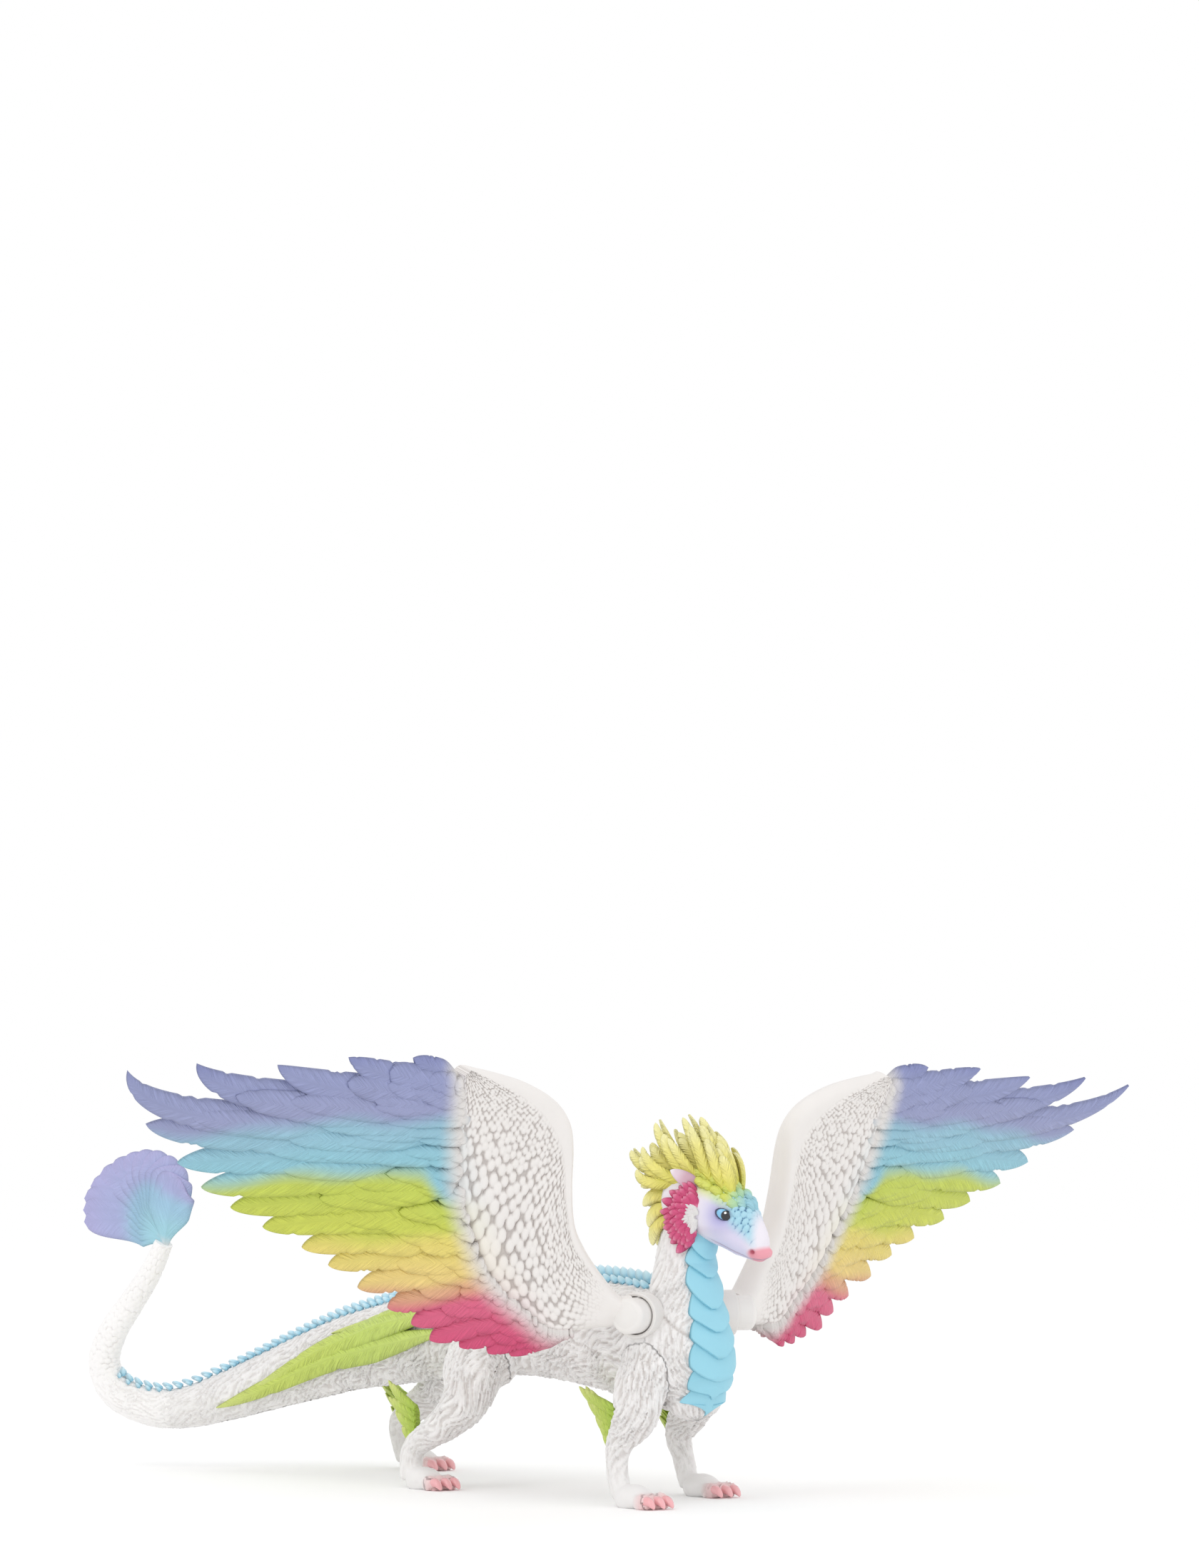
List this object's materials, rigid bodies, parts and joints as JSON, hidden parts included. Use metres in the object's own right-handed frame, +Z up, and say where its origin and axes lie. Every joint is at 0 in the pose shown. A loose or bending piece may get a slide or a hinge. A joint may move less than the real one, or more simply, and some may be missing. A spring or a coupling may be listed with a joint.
{
  "type": "winged dragon toy figure",
  "caption": "Standing furry dragon toy figure of moulded plastic, with a curled tail and two large feathered wings that swivel on shoulder pegs.",
  "frame": {"origin": "centre of the underside of the bounding box, on the surface that the paws stand on", "axes": "+X the way the chest faces, +Y to the figure's left along the wing span, +Z up"},
  "size_m": [0.2074, 0.3, 0.1013],
  "materials": {
    "fur_white": "satin, moulded fur, lightly shaded by hand",
    "face_lilac": "satin, airbrushed lilac over white",
    "crest_yellow": "satin, sprayed yellow running to lime",
    "frill_pink": "satin, painted pink",
    "plate_blue": "satin, painted sky blue",
    "tuft_green": "satin, painted lime green",
    "fan_lilac": "satin, airbrushed lilac to pale blue",
    "wing_rainbow": "satin, airbrushed bands of lilac, blue, lime, yellow and pink",
    "wing_white": "satin, moulded scales",
    "joint_white": "satin, smooth moulding",
    "claw_pink": "semi-gloss painted claws and nose",
    "eye_gloss": "gloss painted eye"
  },
  "bodies": {
    "body": {"torso": "fur_white", "neck_chest": "fur_white", "tail": "fur_white", "head": "face_lilac", "crest_crown": "crest_yellow", "crest_nape": "crest_yellow", "ear_right": "face_lilac", "ear_left": "face_lilac", "cheek_frill_right": "frill_pink", "cheek_frill_left": "frill_pink", "fore_leg_right": "fur_white", "fore_leg_left": "fur_white", "hind_leg_right": "fur_white", "hind_leg_left": "fur_white", "elbow_tuft_right": "tuft_green", "elbow_tuft_left": "tuft_green", "hock_tuft_right": "tuft_green", "hock_tuft_left": "tuft_green", "hip_plume_right": "tuft_green", "hip_plume_left": "tuft_green", "shoulder_collar_right": "joint_white", "shoulder_collar_left": "joint_white", "socket_bush_right": "joint_white", "socket_bush_left": "joint_white", "back_ridge": "plate_blue", "tail_ridge": "plate_blue", "throat_plates": "plate_blue", "tail_fan": "fan_lilac"},
    "wing_right": {"wing_hub_right": "joint_white", "wing_arm_right": "wing_white", "wing_feathers_right": "wing_rainbow"},
    "wing_left": {"wing_hub_left": "joint_white", "wing_arm_left": "wing_white", "wing_feathers_left": "wing_rainbow"}
  },
  "joints": [
    {"name": "right_wing_swivel", "type": "hinge", "parent": "body", "child": "wing_right", "pos_m": [0.08176, -0.014, 0.0434], "axis": [0.3907, -0.9205, 0], "range_deg": [-45, 55]},
    {"name": "left_wing_swivel", "type": "hinge", "parent": "body", "child": "wing_left", "pos_m": [0.08176, 0.014, 0.0434], "axis": [-0.3907, -0.9205, 0], "range_deg": [-45, 55]}
  ]
}
